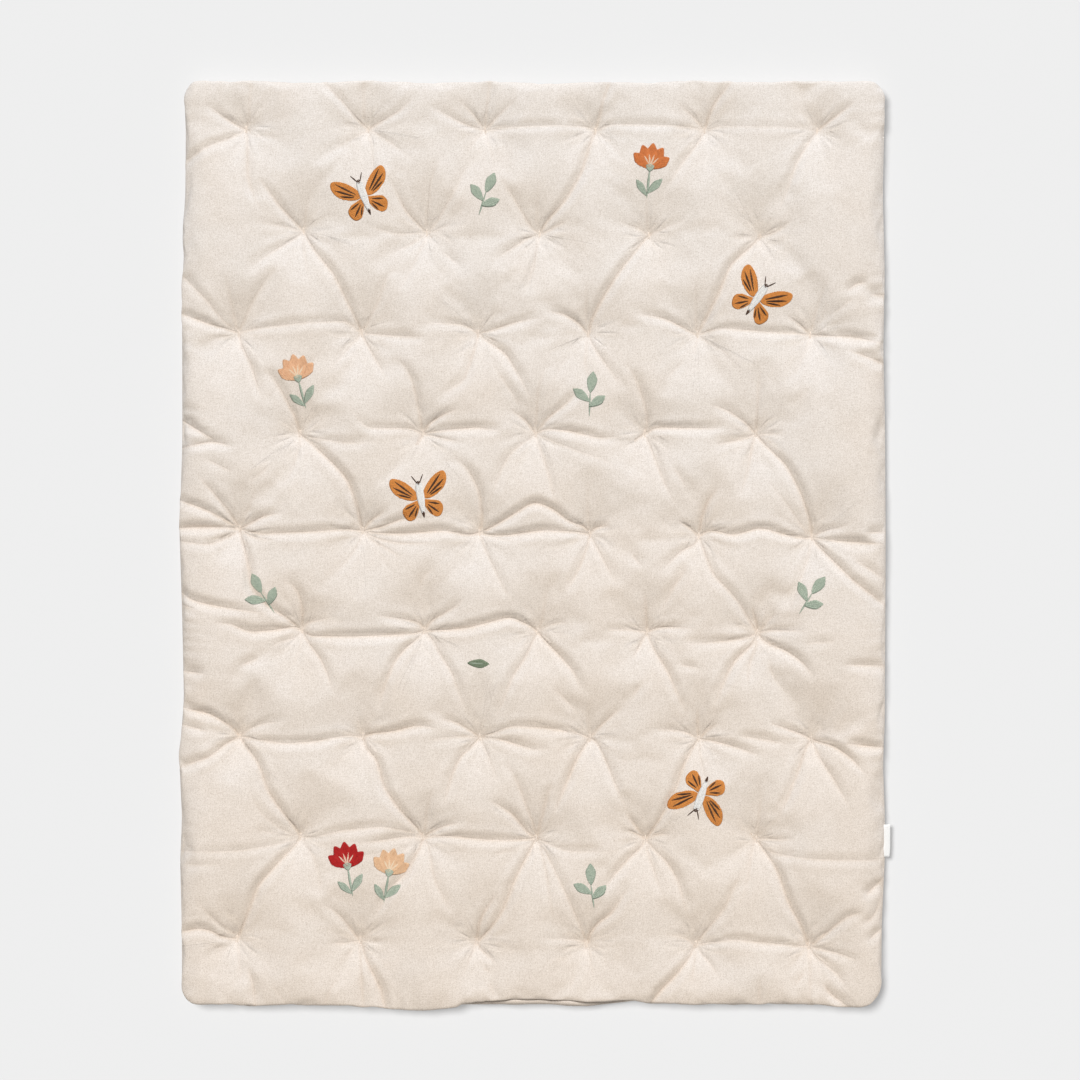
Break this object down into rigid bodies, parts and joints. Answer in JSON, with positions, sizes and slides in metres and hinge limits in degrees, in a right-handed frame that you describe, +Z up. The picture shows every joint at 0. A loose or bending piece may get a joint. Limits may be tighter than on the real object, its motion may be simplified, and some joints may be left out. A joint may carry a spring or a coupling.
{
  "type": "baby play mat",
  "caption": "Padded rectangular play mat with rounded corners, tufted in staggered rows, with a small folded side label.",
  "frame": {"origin": "bottom centre of the whole object's box, on the surface the mat lies on", "axes": "+Z up out of the top face; +Y along the mat's length, away from the closing seam; +X across the mat, to the side with the label"},
  "size_m": [0.7708, 1.007, 0.0262],
  "materials": {
    "natural_cotton": "matt natural cotton canvas with small brown seed flecks",
    "white_tape": "matt off-white cotton tape, bare"
  },
  "bodies": {
    "root": {"mat": "natural_cotton", "side_label": "white_tape"}
  },
  "joints": []
}
